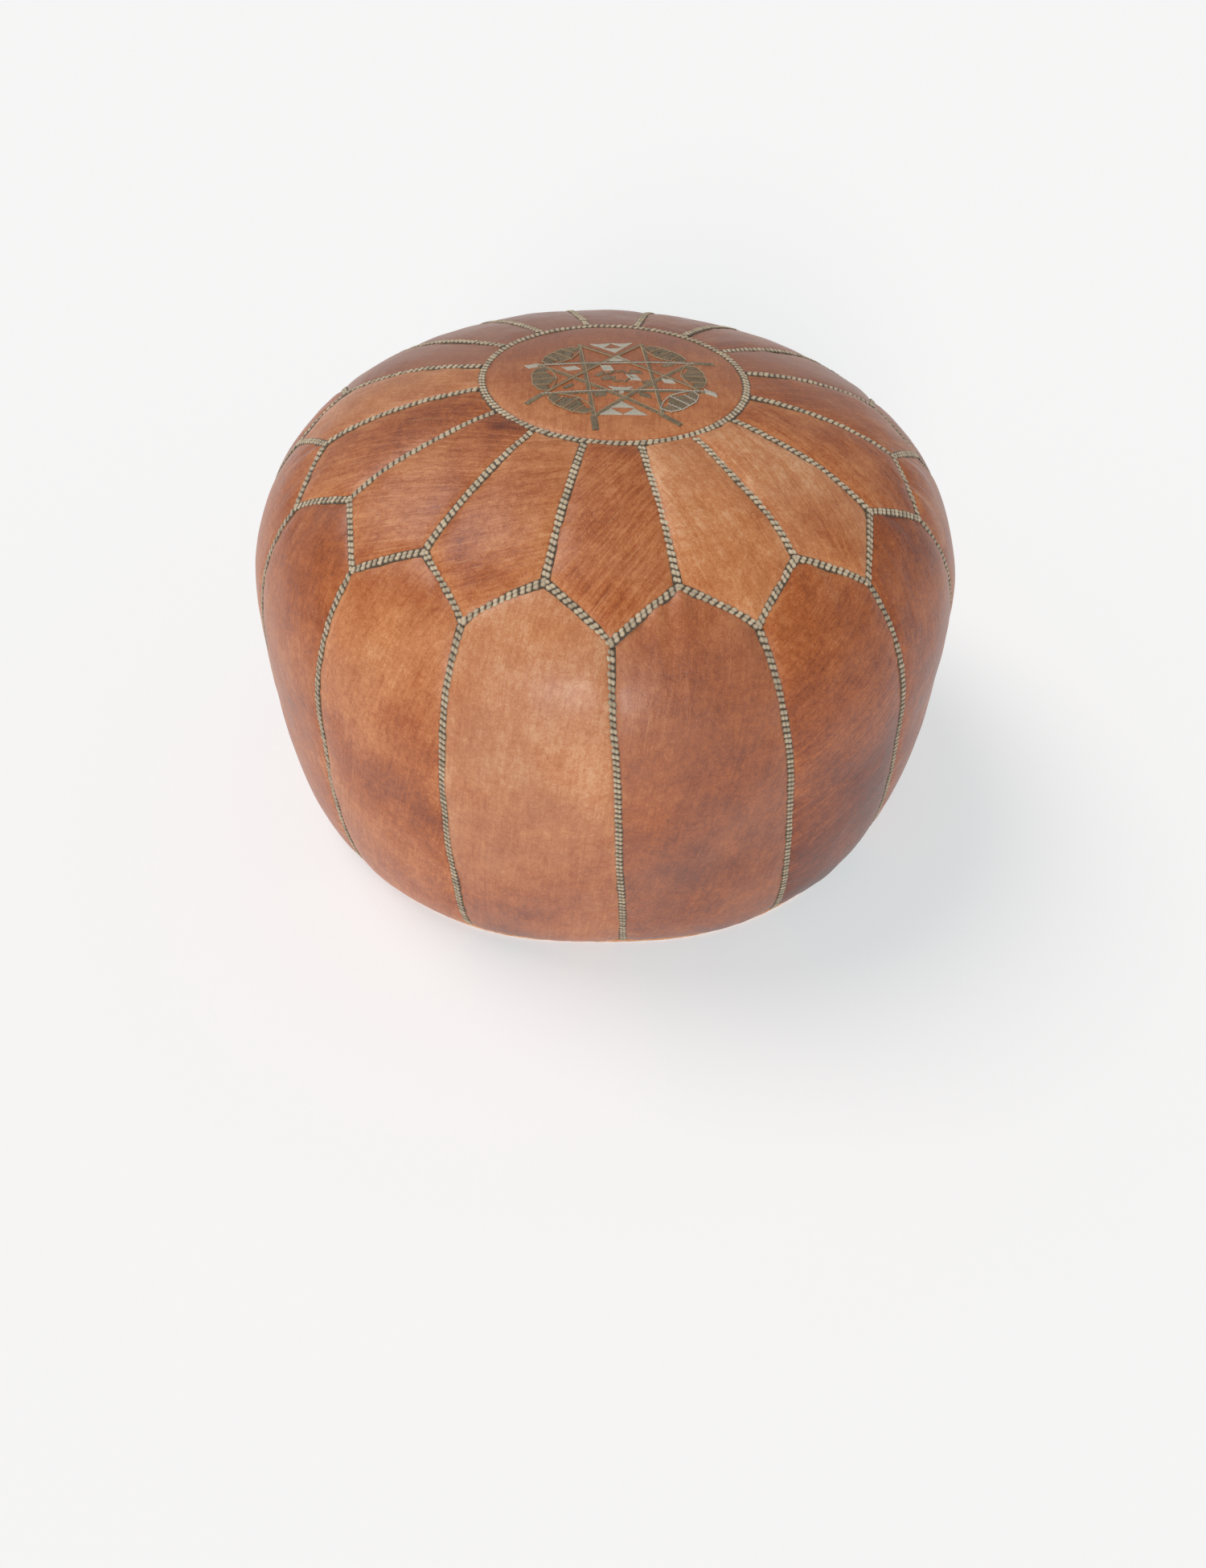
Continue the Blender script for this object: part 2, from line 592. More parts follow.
def braid(builder, az, run, rng, closed=False, overrun=0.0, clean=1.0):
    """A braid over the seam at these places, run on past both ends by overrun.
    Where it's less clean than 1, its thread is darker."""
    points, normals = cover_path(az, run)
    if overrun:
        first, last = points[0] - points[1], points[-1] - points[-2]
        first, last = (overrun * v / np.linalg.norm(v) for v in (first, last))
        points = np.concatenate([[points[0] + first], points, [points[-1] + last]])
        normals = np.concatenate([normals[:1], normals, normals[-1:]])
    length, along, across = path_frame(points, normals)
    lace(builder, points, normals, across, length, closed)
    count = round(length[-1] / STITCH_PITCH)
    for i in range(count):
        at = (i + 0.5) / count * length[-1] + rng.uniform(-0.25, 0.25) * MM
        p, t, b, n = (np.array([np.interp(at, length, field[:, c]) for c in range(3)])
                      for field in (points, along, across, normals))
        turn = rng.uniform(-0.10, 0.10)
        t, b = t * math.cos(turn) + b * math.sin(turn), b * math.cos(turn) - t * math.sin(turn)
        size = rng.uniform(0.92, 1.08)
        verts = p + size * (STITCH[:, :1] * t + STITCH[:, 1:2] * b + STITCH[:, 2:] * n)
        light = STITCH_LIGHT * clean * rng.uniform(0.75, 1.25)
        tone = np.concatenate([light, np.full_like(light, rng.random()), 1 + 0 * light], 1)
        builder.add(verts, STITCH_FACES, STITCH_UV, tone)


stitcher = np.random.default_rng(5)

rim = Builder()
turn = np.linspace(0, 360, 241)
braid(rim, turn, rim_run(turn), stitcher, closed=True)
pieces.append((rim.object("rim_braid_stitches"), "rim_braid"))

petal_seams = Builder()
zigzag = Builder()
for k in range(PETALS):
    notch = 2 * k + 1
    az, r = corner(notch)
    run = np.linspace(rim_run(az) + FROM_RIM, run_of(dome_at(r)) - FROM_ZIGZAG, 40)
    braid(petal_seams, seam_az(notch, run), run, stitcher)
    for i in (2 * k, 2 * k + 1):
        (a0, r0), (a1, r1) = corner(i), corner(i + 1)
        t = np.linspace(0, 1, 16)
        p0, p1 = (np.array([r * math.sin(math.radians(a)), -r * math.cos(math.radians(a))])
                  for a, r in ((a0, r0), (a1, r1)))
        px, py = (p0 + (p1 - p0) * t[:, None]).T
        az = a0 + (azimuth(px, py) - a0 + 180) % 360 - 180
        braid(zigzag, az, run_of(dome_at(np.hypot(px, py))), stitcher, overrun=1.4 * MM, clean=0.88)
pieces += [(petal_seams.object("petal_seam_stitches"), "petal_seam_braids"),
           (zigzag.object("zigzag_stitches"), "zigzag_braid")]

# Two halves, so that each stays a mesh of modest size
for half, name in enumerate(("side_seam_stitches_right", "side_seam_stitches_left")):
    seams = Builder()
    for k in range(half * PETALS // 2, (half + 1) * PETALS // 2):
        top = run_of(dome_at(corner(2 * k)[1])) + FROM_ZIGZAG
        run = np.linspace(top, RUN_END - 3 * MM, 90)
        braid(seams, seam_az(2 * k, run), run, stitcher, clean=0.72)
    pieces.append((seams.object(name), "side_seam_braids"))


# ---- Embroidery: every patch is filled with separate satin threads ----
# In millimetres from the medallion's middle, seen from above with the front at the bottom
STAR_POINTS = 8
STAR_R = 59
STAR_TURN = 6
STAR_AT = np.array([4.6, -4.4])
BAR_W = 2.1
TAIL_W = 4.2
TAIL = 13
THREAD = 0.52                    # from one satin thread to the next
THREAD_R = 0.37
THREAD_LEAN = 78                 # angle of a band's threads to the band
CORD_R = 0.4
LONGEST_STITCH = 8
THREAD_STATIONS = 5
THREAD_RING = 6
THREAD_CAP = np.array([[0, 1, 2, 3], [0, 3, 4, 5]])
THREAD_FACES = tube_faces(THREAD_STATIONS, THREAD_RING, THREAD_CAP)

# x, y, width, height, lean and turn of each lozenge
CREAM_LOZENGES = [(-54.3, 11.2, 9.2, 5.6, -0.7, 20), (-28, 6.7, 9, 6.4, -1.1, 19),
                  (-3.6, 9, 7, 8.2, -0.8, 4), (14.1, -5.3, 7, 8.8, -1.5, 3),
                  (37.3, -8, 7.5, 6.6, -1.2, 0), (65.3, -20.6, 8.4, 5.6, -1.5, -24)]
OLIVE_LOZENGES = [(21, -30.5, 8, 5, -1.5, -20), (15.8, 3.8, 7.5, 4.6, -0.8, -8),
                  (-8.4, -2, 8, 4, 0, 50), (-2.6, -8, 9, 5, 0.5, 8), (-29.5, -20.6, 8, 3.6, 0, 45),
                  (38, 17, 9, 4, 0, 30), (-8.4, -31.6, 8, 6, 0, 10), (24, -14, 7, 9, 0, 20)]


def polar(r, angle):
    return r * np.array([math.cos(math.radians(angle)), math.sin(math.radians(angle))])


def rotated(points, angle):
    c, s = math.cos(math.radians(angle)), math.sin(math.radians(angle))
    return np.asarray(points) @ np.array([[c, s], [-s, c]])


def placed(points, x, y, turn=0):
    return rotated(points, turn) + [x, y]


def triangle(base, height):
    return np.array([(-base / 2, -height / 3), (base / 2, -height / 3), (0, 2 * height / 3)])


def lozenge(w, h, lean):
    return np.array([(-w / 2 - lean, -h / 2), (w / 2 - lean, -h / 2),
                     (w / 2 + lean, h / 2), (-w / 2 + lean, h / 2)])


def star_turn(k):
    """Angle of leaf k. The star's points are half a step on from the leaves."""
    return k * 360 / STAR_POINTS + STAR_TURN


def star_point(k):
    return polar(STAR_R, star_turn(k + 0.5)) + STAR_AT


def cream_patches():
    """(outline, stitch angle) of each patch in cream thread."""
    for x, y, turn in ((0.3, 45.6, 189), (6.4, -51.6, 2)):
        for dx, dy in ((-7.6, -2.9), (7.6, -2.9), (0, 5.8)):
            yield placed(triangle(14.8, 8.4) + [dx, dy], x, y, turn), turn + 90
    yield placed(triangle(17, 10.3), 3.9, 23.5), 90
    yield placed(triangle(16, 10), 5.5, -23.7, 182), 92
    for x, y, w, h, lean, turn in CREAM_LOZENGES:
        yield placed(lozenge(w, h, lean), x, y, turn), turn + 90


def band(p, q, width, past_start=0, past_end=0):
    """A straight band from p to q, and the angle of the thread across it."""
    along = (q - p) / np.linalg.norm(q - p)
    side = np.array([-along[1], along[0]]) * width / 2
    p, q = p - along * past_start, q + along * past_end
    angle = math.degrees(math.atan2(along[1], along[0]))
    return np.array([p - side, q - side, q + side, p + side]), angle + THREAD_LEAN


def bars():
    """The star's eight bands, four of them with a wider tail past a point of the star."""
    for k in range(STAR_POINTS):
        p, q = star_point(k), star_point(k + 3)
        yield band(p, q, BAR_W)
        if k == 0:
            yield band(p, p + (p - q) / np.linalg.norm(p - q), TAIL_W, 2, TAIL)
        if k in (1, 2, 3):
            yield band(q, q + (q - p) / np.linalg.norm(q - p), TAIL_W, 2, TAIL)


LEAF = [(48, -18), (55, -15.5), (58.5, -7.5), (58.5, 7.5), (55, 15.5), (48, 18), (44, 9), (42, 0),
        (44, -9)]
LEAF_RIBS = [((47, -9), (58, -8)), ((42, 0), (58.5, 0)), ((47, 9), (58, 8))]
LEAVES = (0, 1, 3, 4, 5, 7)


def leaves():
    """Leaf-shaped panels between neighbouring points, each in four patches around ribs."""
    for k in LEAVES:
        for side in (-1, 1):
            tip = [(48, side * 17.5), (54.5, side * 15), (57.6, side * 9), (48.5, side * 9.8)]
            heel = [(47, side * 8), (58, side * 7), (58, side * 0.8), (42.8, side * 0.8)]
            for patch, angle in ((tip, 20), (heel, -35)):
                yield rotated(patch, star_turn(k)) + STAR_AT, star_turn(k) + side * angle


def olive_patches():
    yield from bars()
    yield from leaves()
    yield np.array([(-19, 17), (-9, 18.5), (-16, 6)]), 80
    for x, y, w, h, lean, turn in OLIVE_LOZENGES:
        yield placed(lozenge(w, h, lean), x, y, turn), turn + 90
    for k in range(16):
        p, q = (rotated(polar(9.4 if i % 2 else 7.0, i * 22.5), STAR_TURN) + STAR_AT
                for i in (k, k + 1))
        yield band(p, q, 1.3)


def outlines():
    """(points, is it cream) of each cord along the edges of bands and leaves."""
    for k in range(STAR_POINTS):
        p, q = star_point(k), star_point(k + 3)
        side = rotated((q - p) / np.linalg.norm(q - p), 90) * (BAR_W / 2 + 0.3)
        yield [p + side, q + side], k in (0, 4)
    for k in LEAVES:
        for path in [LEAF + LEAF[:1], *LEAF_RIBS]:
            yield rotated(path, star_turn(k)) + STAR_AT, k == 7


def spans(points, y):
    """Where the level line at y runs inside the outline."""
    cuts = []
    for (x0, y0), (x1, y1) in zip(points, np.roll(points, -1, axis=0)):
        if (y0 <= y) != (y1 <= y):
            cuts.append(x0 + (x1 - x0) * (y - y0) / (y1 - y0))
    cuts.sort()
    return zip(cuts[::2], cuts[1::2])


def thread_tube(builder, p, q, rise, radius, tone):
    """One satin thread from p to q in plan, arched over the leather."""
    p, q, rise, radius = (v * MM for v in (p, q, rise, radius))
    t = np.linspace(0, 1, THREAD_STATIONS)[:, None]
    ring = turn_of(THREAD_RING)
    along = (q - p) / max(np.linalg.norm(q - p), 1e-9)
    side = np.array([-along[1], along[0]])
    thin = np.clip(np.sin(np.pi * (0.06 + 0.88 * t)) * 2.2, 0.3, 1)
    plan = (p + (q - p) * t)[:, None, :] + side * (radius * thin * np.cos(ring))[..., None]
    up = rise * np.sin(np.pi * t) ** 0.45 + radius * thin * np.sin(ring)
    uv = joined(t * np.linalg.norm(q - p) / MM, ring)
    builder.add(on_medallion(plan[..., 0], plan[..., 1], up), THREAD_FACES, uv, tone)


def fill_patch(builder, patch, angle, rng, darkest=0.5):
    """Satin threads side by side across a patch, each up to LONGEST_STITCH long."""
    points = rotated(patch, -angle)
    low, high = points[:, 1].min(), points[:, 1].max()
    for y in np.arange(low + THREAD / 2, high, THREAD):
        for x0, x1 in spans(points, y):
            pieces = max(1, math.ceil((x1 - x0) / LONGEST_STITCH))
            edges = np.linspace(x0 - 0.15, x1 + 0.15, pieces + 1)
            edges[1:-1] += rng.uniform(-1.2, 1.2, pieces - 1)
            for a, b in zip(edges, edges[1:]):
                p, q = rotated([(a, y), (b, y)], angle)
                thread_tube(builder, p, q, 0.5, THREAD_R,
                            (rng.uniform(darkest, darkest + 0.4), rng.random(), 0))


def couch(builder, path, rng):
    """A cord sewn down along a path, in short twisted lengths."""
    for p, q in zip(path, path[1:]):
        p, q = np.asarray(p, float), np.asarray(q, float)
        count = max(1, round(np.linalg.norm(q - p) / 2.6))
        side = rotated((q - p) / np.linalg.norm(q - p), 90) * 0.22
        for i in range(count):
            a, b = p + (q - p) * (i - 0.12) / count, p + (q - p) * (i + 1.12) / count
            thread_tube(builder, a + side, b - side, 0.75, CORD_R, (rng.uniform(0.85, 1), 0.5, 0))


embroiderer = np.random.default_rng(8)
cream_threads, olive_threads = Builder(), Builder()
for patch, angle in cream_patches():
    fill_patch(cream_threads, patch, angle, embroiderer)
for patch, angle in olive_patches():
    fill_patch(olive_threads, patch, angle, embroiderer, 0.15)
for path, is_cream in outlines():
    couch(cream_threads if is_cream else olive_threads, path, embroiderer)
pieces += [(cream_threads.object("embroidery_cream_threads"), "medallion_embroidery_cream"),
           (olive_threads.object("embroidery_olive_threads"), "medallion_embroidery_olive")]

# ---- Base: two half discs that hang together on the zip, and the welt around them ----
BASE_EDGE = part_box("base_half_rear")[1].y
BASE_RING = 196 * MM
PLATEAU_R = 178 * MM
DISH_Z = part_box("base_half_rear")[1].z - LEATHER
SPLIT = 0.15 * MM                # half the gap between the halves where there's no zip
SLOT_HALF = 8 * MM
SLOT_END = -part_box("zip_tape_rear")[0].x + 3 * MM


def base_z(x, y):
    """Underside of the base leather: flat ring, then a slope up to the raised middle."""
    r = np.hypot(x, y)
    t = np.clip((BASE_RING - r) / (BASE_RING - PLATEAU_R), 0, 1)
    ripple = _dents.layers(x, y, 3, 40 * MM)
    inside = np.clip((FOOT_R - 20 * MM - r) / (20 * MM), 0, 1)
    near_zip = np.clip((np.abs(y) - 20 * MM) / (20 * MM), 0, 1)
    return DISH_Z * t * t * (3 - 2 * t) + 0.35 * MM * (ripple + 1) * inside * near_zip


for side, name in ((-1, "base_half_front"), (1, "base_half_rear")):
    phi = np.linspace(-88.5, 88.5, 141)[None, :]
    bx = BASE_EDGE * np.sin(np.radians(phi))
    near_slot = np.clip((SLOT_END - np.abs(bx)) / (2.5 * MM), 0, 1)
    inner_y = SPLIT + (SLOT_HALF - SPLIT) * near_slot * near_slot * (3 - 2 * near_slot)
    outer_y = np.sqrt(BASE_EDGE**2 - bx**2)
    v = np.linspace(0, 1, 90)[:, None]
    by = inner_y + (np.maximum(outer_y, inner_y + MM) - inner_y) * v
    bx = np.broadcast_to(bx, by.shape)
    # The leather's edge along the zip is folded over, so it stands a little lower there
    fold = 0.5 * MM * np.exp(-(((by - inner_y) / (5 * MM)) ** 4)) * near_slot
    z = base_z(bx, side * by) - fold
    mottle = Noise(400 + side).layers(bx, by, 4, 45 * MM)
    tone = np.clip(joined(0.36 + 0.12 * mottle, 0.1, fold / MM), 0, 1)
    px, py = on_base(bx, side * by)
    half = shell(name + "_leather", joined(px, py, z), joined(px, py, z + LEATHER),
                 joined(bx, by), tone)
    pieces.append((half, name))

# Topstitching of the base leather onto the zip's tapes
topstitch = Builder()
for side in (-1, 1):
    for row in (11 * MM, 15.5 * MM):
        for cx in np.arange(-SLOT_END + 6 * MM, SLOT_END - 6 * MM, 4.4 * MM):
            t = np.linspace(0, 1, 6)[:, None]
            ring = turn_of(THREAD_RING)
            dip = 0.35 * MM * np.sin(np.pi * t) + 0.36 * MM * np.sin(ring)
            points = joined(cx + 3.2 * MM * t, side * row + 0.36 * MM * np.cos(ring),
                            DISH_Z - dip + 0.1 * MM)
            topstitch.add(points, tube_faces(6, THREAD_RING, THREAD_CAP)[:, ::-1],
                          joined(t * 3.2, ring), (embroiderer.uniform(0.5, 1), 0.5, 0))
topstitch = topstitch.object("base_topstitching")

# Welt: a rolled strip of leather with its own small swells
welt_low, welt_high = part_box("base_welt")
WELT_R = (welt_high.z - welt_low.z) / 2
WELT_AT = welt_high.x - WELT_R
WELT_RINGS, WELT_RING = 720, 14
az = np.linspace(0, 360, WELT_RINGS, endpoint=False)[:, None]
ring = turn_of(WELT_RING)
_welt = Noise(17, 256)
swell = 1 + 0.10 * _welt(az * 0.7, 0 * az) + 0.05 * _welt(az * 2.9, 0 * az + 7)
wr = WELT_AT + WELT_R * swell * np.cos(ring) + 0.3 * MM * _welt(az / 9, 0 * az + 3)
wz = (welt_low.z + welt_high.z) / 2 + WELT_R * np.minimum(swell, 1.05) * np.sin(ring)
ax = np.radians(az)
wx, wy = on_base(wr * np.sin(ax), -wr * np.cos(ax))
welt_tone = joined(np.clip(0.85 + 0.1 * _welt(az, 0 * az), 0, 1), 0 * ring, 0)
welt = make_object("base_welt_leather", joined(wx, wy, wz).reshape(-1, 3),
                   loop_faces(WELT_RINGS, WELT_RING),
                   joined(ax * WELT_AT, ring * WELT_R).reshape(-1, 2), welt_tone.reshape(-1, 3))
pieces.append((welt, "base_welt"))

# Zip tapes: woven bands with a corded edge under the teeth
for name in ("zip_tape_front", "zip_tape_rear"):
    low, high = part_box(name)
    side = 1 if high.y > 0 else -1
    inner, outer = (low.y, high.y) if side > 0 else (high.y, low.y)
    tx = np.linspace(low.x, high.x, 241)[:, None]
    v = np.linspace(0, 1, 25)[None, :]
    ty = inner + (outer - inner) * v
    wave = 0.12 * MM * _dents(tx / (14 * MM), 0 * tx) * v
    cord = 0.15 * MM * np.exp(-(((v - 0.03) / 0.04) ** 2))
    mid = (low.z + high.z) / 2 + wave
    half = (high.z - low.z) / 2 - 0.1 * MM
    top, bottom = joined(tx, ty, mid + half), joined(tx, ty, mid - half - cord)
    tape = shell(name + "_weave", bottom, top, joined(tx, ty), np.full(top.shape, 0.5))
    pieces.append((tape, name))

# ---- Inside: cotton bag and its filling ----
HOLLOW = 15.9 * MM               # how far the base's raised middle pushes into the bag
# The underside's rings: radius as a share of the foot's, and how far up into the hollow
UNDERSIDE = [(0.955, 0), (0.9, 0), (0.84, 0), (0.78, 0.7), (0.74, 1), (0.5, 1), (0.2, 1), (0.02, 1)]


def stuffed(name, inset, seed, lumps):
    """A closed stuffed body a little inside the cover, with the base's hollow beneath."""
    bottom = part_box(name)[0].z
    down = np.linspace(0.4, PANEL_END - 4, 90)
    az = np.linspace(0, 360, 120, endpoint=False)
    a, s = np.meshgrid(az, down)
    noise = Noise(seed, 30)
    h = -inset + lumps * noise.layers(a, s, 3, 12)
    points = cover(a, s, h)
    edge = points[-1]
    radius = np.hypot(edge[:, 0], edge[:, 1])[:, None]
    rings = []
    for r, z in UNDERSIDE:
        x, y = (edge[:, :2] * (r * FOOT_R / radius)).T
        rings.append(joined(x, y, bottom + 1.2 * MM + z * HOLLOW))
    points = np.concatenate([points, np.array(rings)])
    rows, cols = points.shape[:2]
    verts = np.concatenate([points.reshape(-1, 3), [points[0].mean(0), points[-1].mean(0)]])
    n = rows * cols
    j = np.arange(0, cols, 2)
    last = n - cols
    faces = np.concatenate([grid_faces(rows, cols, wrap=True),
                            joined(n, (j + 2) % cols, j + 1, j),
                            joined(n + 1, last + j, last + j + 1, last + (j + 2) % cols)])
    uv = np.concatenate([joined(np.tile(az, rows), np.repeat(np.arange(rows), cols)),
                         [[0, 0], [0, 0]]]) / 100
    return make_object(name + "_soft", verts, faces[:, ::-1], uv, np.full((len(verts), 3), 0.5))


bag = stuffed("inner_bag", 7.5 * MM, 41, 0.8 * MM)
filling = stuffed("filling", 10.5 * MM, 43, 1.2 * MM)
pieces += [(bag, "inner_bag"), (filling, "filling")]


# ---- Materials ----
def linear(r, g, b):
    """Shader colour from screen values of 0 to 255."""
    return tuple(((c / 255 + 0.055) / 1.055) ** 2.4 for c in (r, g, b)) + (1,)


class Shader:
    """A material's node tree, with short ways to add and join nodes."""

    def __init__(self, name):
        self.material = bpy.data.materials.new(name)
        self.material.use_nodes = True
        self.tree = self.material.node_tree
        self.bsdf = self.tree.nodes["Principled BSDF"]

    def add(self, kind, **inputs):
        node = self.tree.nodes.new(kind)
        for key, value in inputs.items():
            name = key.replace("_", " ")
            if name in node.inputs:
                self.put(node.inputs[name], value)
            else:
                setattr(node, key, value)
        return node

    def put(self, socket, value):
        if isinstance(value, bpy.types.NodeSocket):
            self.tree.links.new(value, socket)
        else:
            socket.default_value = value

    def set(self, **inputs):
        for key, value in inputs.items():
            self.put(self.bsdf.inputs[key.replace("_", " ")], value)

    def math(self, operation, a, b=0.0):
        node = self.add("ShaderNodeMath", operation=operation)
        self.put(node.inputs[0], a)
        self.put(node.inputs[1], b)
        return node.outputs[0]

    def vary(self, value, layer, weight):
        """The value, moved up or down by a layer that runs from 0 to 1."""
        return self.math("ADD", value,
                         self.math("MULTIPLY", self.math("SUBTRACT", layer, 0.5), weight))

    def mix(self, factor, a, b):
        node = self.add("ShaderNodeMix", data_type="RGBA")
        self.put(node.inputs["Factor"], factor)
        self.put(node.inputs[6], a)
        self.put(node.inputs[7], b)
        return node.outputs[2]

    def ramp(self, value, stops):
        node = self.add("ShaderNodeValToRGB")
        self.put(node.inputs[0], value)
        elements = node.color_ramp.elements
        while len(elements) < len(stops):
            elements.new(0.5)
        for element, (at, colour) in zip(elements, stops):
            element.position = at
            element.color = colour if len(colour) == 4 else (*colour, 1)
        return node.outputs[0]

    def noise(self, vector, size, detail=3.0, rough=0.5):
        """Noise whose features are about size millimetres."""
        return self.add("ShaderNodeTexNoise", Vector=vector, Scale=1 / size, Detail=detail,
                        Roughness=rough).outputs[0]

    def scaled(self, vector, y, x=1.0, z=1.0):
        """The vector with its parts multiplied. A small y draws noise out along y."""
        return self.add("ShaderNodeMapping", Vector=vector, Scale=(x, y, z)).outputs[0]

    def tone(self):
        """Lightness, rosiness, nearness to a seam and brush strength, from the Tone attribute."""
        tone = self.add("ShaderNodeAttribute", attribute_name="Tone")
        split = self.add("ShaderNodeSeparateColor", Color=tone.outputs[0])
        return *split.outputs[:3], tone.outputs["Alpha"]

    def uv_mm(self):
        """Flat coordinates of the piece, in millimetres."""
        uv = self.add("ShaderNodeUVMap", uv_map="UVMap").outputs[0]
        return self.scaled(uv, 1000, 1000)

    def bump(self, *layers):
        """Bump from (height, depth in millimetres) layers."""
        normal = None
        for height, depth in layers:
            node = self.add("ShaderNodeBump", Height=height, Distance=depth * MM, Strength=1.0)
            if normal is not None:
                self.put(node.inputs["Normal"], normal)
            normal = node.outputs[0]
        self.set(Normal=normal)


LEATHER_STOPS = [(0.0, linear(74, 26, 8)), (0.25, linear(128, 56, 20)),
                 (0.5, linear(178, 96, 45)), (0.75, linear(212, 138, 86)),
                 (1.0, linear(240, 187, 142))]
ROSY = linear(158, 116, 101)
SCAR = linear(84, 40, 22)
RUBBED = linear(226, 172, 120)


def leather(name, shift=0.0, rose=0.0, coat=0.22):
    """Waxed goat leather: mottled, brushed, with fine grain, small scars and worn seams."""
    m = Shader(name)
    flat = m.uv_mm()
    tone, blush, seam, brush = m.tone()
    mottle = m.noise(flat, 17, 6, 0.7)
    cloud = m.noise(flat, 3.4, 4, 0.7)
    grain = m.noise(flat, 1.1, 3, 0.7)
    brushed = m.noise(m.scaled(flat, 0.06), 1.9, 3, 0.65)
    strokes = m.noise(m.scaled(flat, 0.12), 7, 4, 0.7)
    veins = m.noise(m.scaled(flat, 0.3), 4.2, 4, 0.7)
    # Fine creases: the edges of cells whose places a noise has pushed about
    push = m.add("ShaderNodeTexNoise", Vector=flat, Scale=1 / 9, Detail=4, Roughness=0.6)
    pushed = m.add("ShaderNodeVectorMath", operation="MULTIPLY_ADD")
    m.put(pushed.inputs[0], push.outputs[1])
    pushed.inputs[1].default_value = (14, 14, 14)
    m.put(pushed.inputs[2], m.scaled(flat, 0.55))
    edge = m.add("ShaderNodeTexVoronoi", feature="DISTANCE_TO_EDGE", Vector=pushed.outputs[0],
                 Scale=1 / 6.5).outputs[0]
    crease = m.ramp(edge, [(0.0, (0, 0, 0)), (0.16, (1, 1, 1))])
    value = m.math("ADD", tone, shift)
    for layer, weight in ((mottle, 0.46), (cloud, 0.36), (grain, 0.46), (veins, 0.16),
                          (crease, 0.07),
                          (brushed, m.math("MULTIPLY", brush, 0.50)),
                          (strokes, m.math("MULTIPLY", brush, 0.42))):
        value = m.vary(value, layer, weight)
    value = m.math("ADD", value, m.math("MULTIPLY", seam, 0.10))
    # A narrow dark line where the leather goes down beside the braid
    value = m.math("SUBTRACT", value, m.ramp(seam, [(0.42, (0, 0, 0)), (0.75, (0.22, 0.22, 0.22))]))
    colour = m.ramp(value, LEATHER_STOPS)
    colour = m.mix(m.math("ADD", m.math("MULTIPLY", blush, 0.8), rose), colour, ROSY)
    # Small dark scars in some of the cells, and pale scratches along the brush marks
    cells = m.add("ShaderNodeTexVoronoi", Vector=m.scaled(flat, 0.45), Scale=1 / 10)
    spot = m.ramp(m.math("ADD", cells.outputs[0], m.math("MULTIPLY", grain, 0.10)),
                  [(0.07, (1, 1, 1)), (0.13, (0, 0, 0))])
    chosen = m.add("ShaderNodeSeparateColor", Color=cells.outputs[1]).outputs[0]
    scar = m.math("MULTIPLY", spot, m.math("GREATER_THAN", chosen, 0.62))
    colour = m.mix(m.math("MULTIPLY", scar, 0.55), colour, SCAR)
    lines = m.noise(m.scaled(flat, 0.025), 1.3, 2, 0.5)
    scratch = m.ramp(lines, [(0.66, (0, 0, 0)), (0.74, (1, 1, 1))])
    colour = m.mix(m.math("MULTIPLY", m.math("MULTIPLY", scratch, brush), 0.40), colour, RUBBED)
    rough = m.math("ADD", 0.28, m.math("MULTIPLY", mottle, 0.22))
    m.set(Base_Color=colour, Roughness=rough, Specular_IOR_Level=0.38, Coat_Weight=coat,
          Coat_Roughness=0.30)
    pores = m.add("ShaderNodeTexVoronoi", Vector=flat, Scale=1 / 1.1).outputs[0]
    m.bump((strokes, 0.5), (veins, 0.5), (crease, 0.10), (grain, 0.16), (pores, 0.05),
           (brushed, 0.08))
    return m.material


def thread(name, dark, light, shine=0.0):
    """Twisted thread: light where the Tone attribute says so, with a fine ply across it."""
    m = Shader(name)
    tone = m.tone()[0]
    uv = m.add("ShaderNodeUVMap", uv_map="UVMap").outputs[0]
    ply = m.add("ShaderNodeTexWave", Vector=uv, Scale=0.9, Distortion=0.8, Detail=1.0,
                wave_type="BANDS", bands_direction="Y").outputs[1]
    fuzz = m.add("ShaderNodeTexNoise", Vector=uv, Scale=6.0, Detail=3.0).outputs[0]
    value = m.vary(m.vary(tone, ply, 0.22), fuzz, 0.25)
    m.set(Base_Color=m.ramp(value, [(0.0, dark), (0.9, light)]), Roughness=0.72 - shine,
          Sheen_Weight=0.25, Sheen_Roughness=0.4)
    m.bump((ply, 0.12), (fuzz, 0.05))
    return m.material


def woven(name, colour, second, pitch, rough=0.9):
    """Plain or twill cloth with crossing threads of pitch millimetres."""
    m = Shader(name)
    flat = m.uv_mm()
    warp, weft = (m.add("ShaderNodeTexWave", Vector=flat, Scale=0.314 / pitch, Distortion=0.4,
                        bands_direction=way).outputs[1] for way in ("X", "DIAGONAL"))
    weave = m.math("MULTIPLY", warp, weft)
    fuzz = m.noise(flat, 2.5, 4)
    m.set(Base_Color=m.mix(m.math("MULTIPLY", m.math("ADD", weave, fuzz), 0.5), second, colour),
          Roughness=rough, Sheen_Weight=0.3)
    m.bump((weave, 0.15), (fuzz, 0.1))
    return m.material


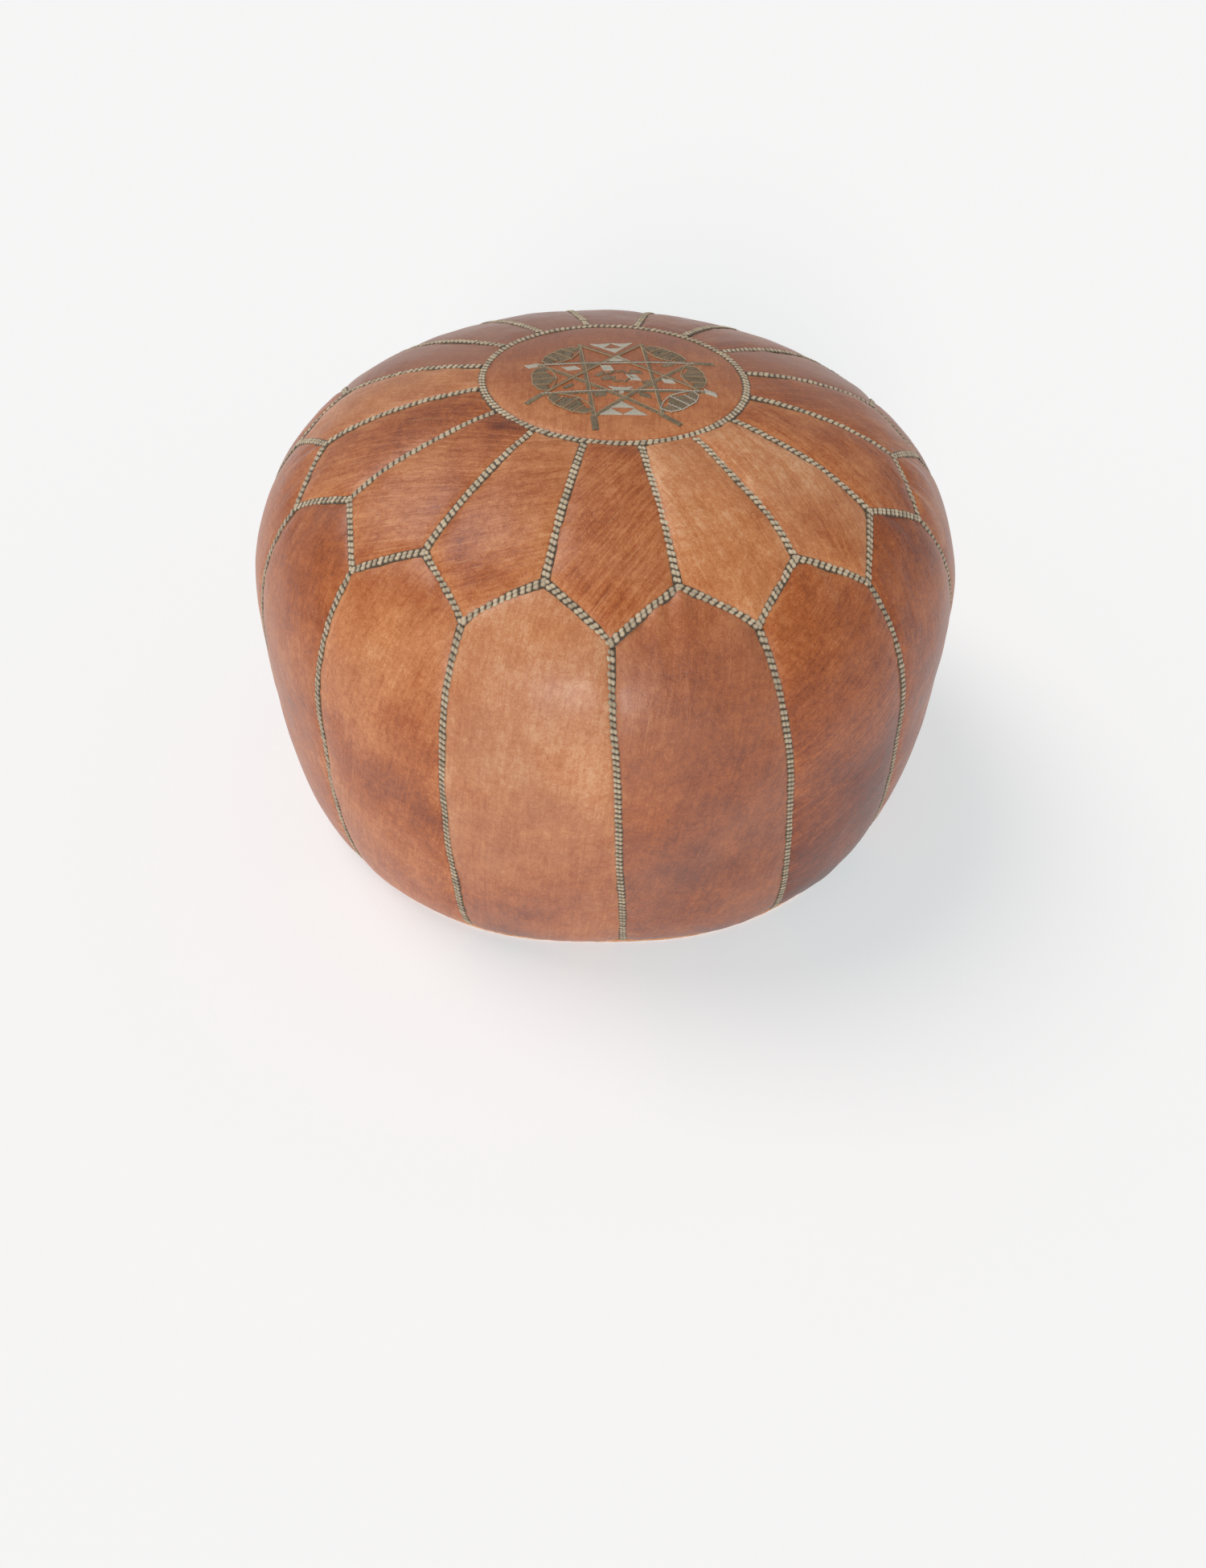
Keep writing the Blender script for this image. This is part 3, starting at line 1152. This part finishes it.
def brass(name):
    """Cast zip brass, duller and browner where it isn't rubbed."""
    m = Shader(name)
    place = m.scaled(m.add("ShaderNodeTexCoord").outputs["Object"], 1000, 1000, 1000)
    worn = m.noise(place, 4, 4, 0.6)
    fine = m.noise(place, 0.3, 2)
    colour = m.ramp(worn, [(0.35, linear(122, 88, 42)), (0.65, linear(206, 170, 98))])
    rough = m.math("ADD", 0.22, m.math("MULTIPLY", worn, 0.25))
    m.set(Base_Color=colour, Metallic=1.0, Roughness=rough)
    m.bump((fine, 0.02))
    return m.material


# Each record slot's material: how it's made, and with what
MATERIALS = {slot: make(slot, *details) for slot, make, *details in (
    ("leather_tan", leather),
    ("leather_russet", leather, -0.02),
    ("leather_rose", leather, 0.0, 0.12),
    ("leather_base", leather, 0.0, 0.0, 0.0),
    ("braid_thread", thread, linear(78, 64, 46), linear(226, 206, 174)),
    ("embroidery_cream", thread, linear(240, 222, 190), linear(255, 249, 230), 0.3),
    ("embroidery_olive", thread, linear(112, 92, 64), linear(226, 196, 152), 0.3),
    ("zip_tape", woven, linear(62, 44, 32), linear(28, 20, 15), 0.8),
    ("bag_cotton", woven, linear(226, 216, 194), linear(190, 178, 152), 1.0),
    ("filling_wadding", woven, linear(236, 232, 224), linear(206, 200, 190), 6.0, 1.0),
    ("zip_brass", brass))}
SLOT_OF = {part["node"]: part["material_slot"] for part in frame["record"]["subparts"]}


def dress(piece, slot):
    """Gives a piece the material of its record slot."""
    piece.data.materials.clear()
    piece.data.materials.append(MATERIALS[slot])


for piece, node in pieces:
    dress(piece, SLOT_OF[node])
    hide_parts(node)
    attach(piece, "pouf")
dress(topstitch, "braid_thread")
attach(topstitch, "pouf")

# The zip's metal keeps its CAD shape, with its edges rounded
for node in ("zip_teeth_front", "zip_teeth_rear", "zip_top_stops", "zip_bottom_stop",
             "zip_slider", "zip_pull_tab"):
    metal = frame["nodes"][node]
    dress(metal, "zip_brass")
    bevel = metal.modifiers.new("rounded", "BEVEL")
    bevel.width = 0.18 * MM
    bevel.segments = 2
    bevel.limit_method = "ANGLE"

# ---- Studio ----
floor_mesh = bpy.data.meshes.new("floor")
floor_mesh.from_pydata([(-30, -30, 0), (30, -30, 0), (30, 30, 0), (-30, 30, 0)], [],
                       [(0, 1, 2, 3)])
floor = new_object("floor", floor_mesh)
paper = Shader("studio_floor")
paper.set(Base_Color=(0.66, 0.57, 0.54, 1), Roughness=0.9, Specular_IOR_Level=0.0,
          Emission_Color=(0.827, 0.957, 1, 1), Emission_Strength=0.508)
floor_mesh.materials.append(paper.material)

world = bpy.data.worlds.new("studio")
world.use_nodes = True
sky = world.node_tree.nodes["Background"].inputs
sky["Color"].default_value = (1, 1, 1, 1)
sky["Strength"].default_value = 0.33
bpy.context.scene.world = world


def sun(name, place, energy, angle):
    """A sun shining from place to the pouf. Its shadows are softer for a wider angle."""
    light = bpy.data.lights.new(name, "SUN")
    light.energy = energy
    light.angle = math.radians(angle)
    obj = new_object(name, light)
    obj.location = place
    obj.rotation_euler = (-Vector(place)).to_track_quat("-Z", "Y").to_euler()


# Soft light from high on the left and behind, and a low one from the front that gives the sheen
sun("window", (-1.4, 0.75, 2.5), 1.15, 32)
sun("front", (-0.24, -1.6, 0.52), 1.2, 15)

camera = bpy.data.cameras.new("camera")
camera.lens = 25.2
camera.sensor_width = 36
camera.clip_start = 0.01
camera_obj = new_object("camera", camera)
camera_obj.location = (0.0033, -0.720, 0.6946)
camera_obj.rotation_euler = (math.radians(90 - 46.96), 0, 0)
bpy.context.scene.camera = camera_obj
bpy.context.scene.view_settings.view_transform = "Standard"
